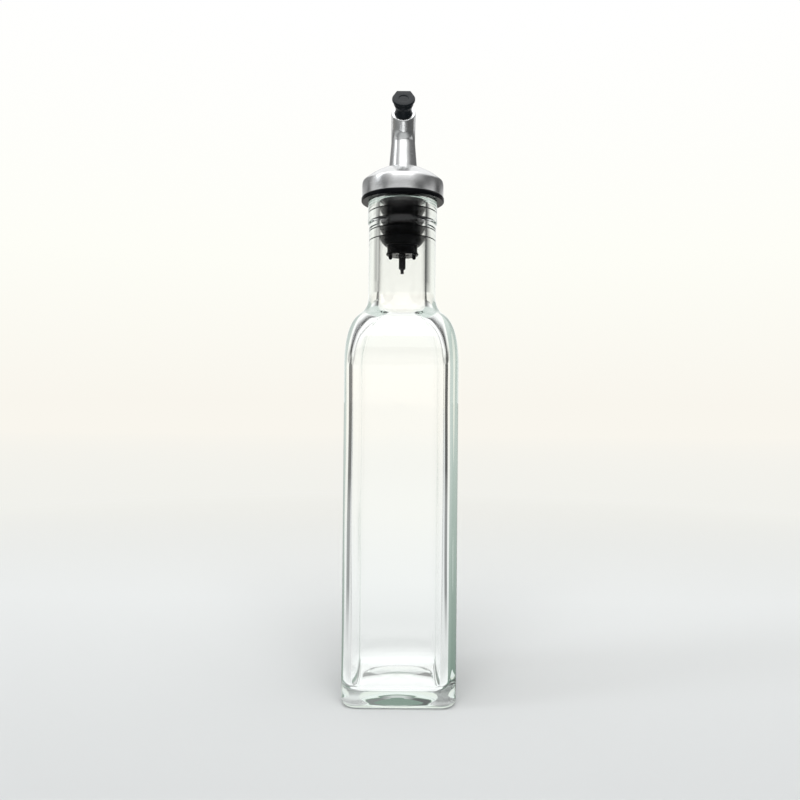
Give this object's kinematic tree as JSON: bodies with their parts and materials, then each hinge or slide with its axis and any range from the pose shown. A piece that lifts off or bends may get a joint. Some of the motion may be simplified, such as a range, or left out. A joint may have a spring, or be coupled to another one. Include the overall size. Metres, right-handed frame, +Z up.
{
  "type": "olive oil bottle",
  "caption": "Square clear glass oil bottle, empty, with a round neck, a ribbed stopper in it, and a satin metal pourer whose bent spout is closed by a small plug.",
  "frame": {"origin": "centre of the underside of the base", "axes": "+Z up along the neck, X and Y square to the flats, with the spout leaning towards -Y"},
  "size_m": [0.047, 0.047, 0.2544],
  "materials": {
    "glass": "clear",
    "insert": "gloss",
    "sleeve": "satin",
    "vent_tube": "gloss",
    "collar": "satin",
    "spout": "satin",
    "plug": "satin"
  },
  "bodies": {
    "root": {"bottle": "glass", "insert": "insert", "sleeve": "sleeve", "vent_tube": "vent_tube", "collar": "collar", "spout": "spout", "plug": "plug"}
  },
  "joints": []
}
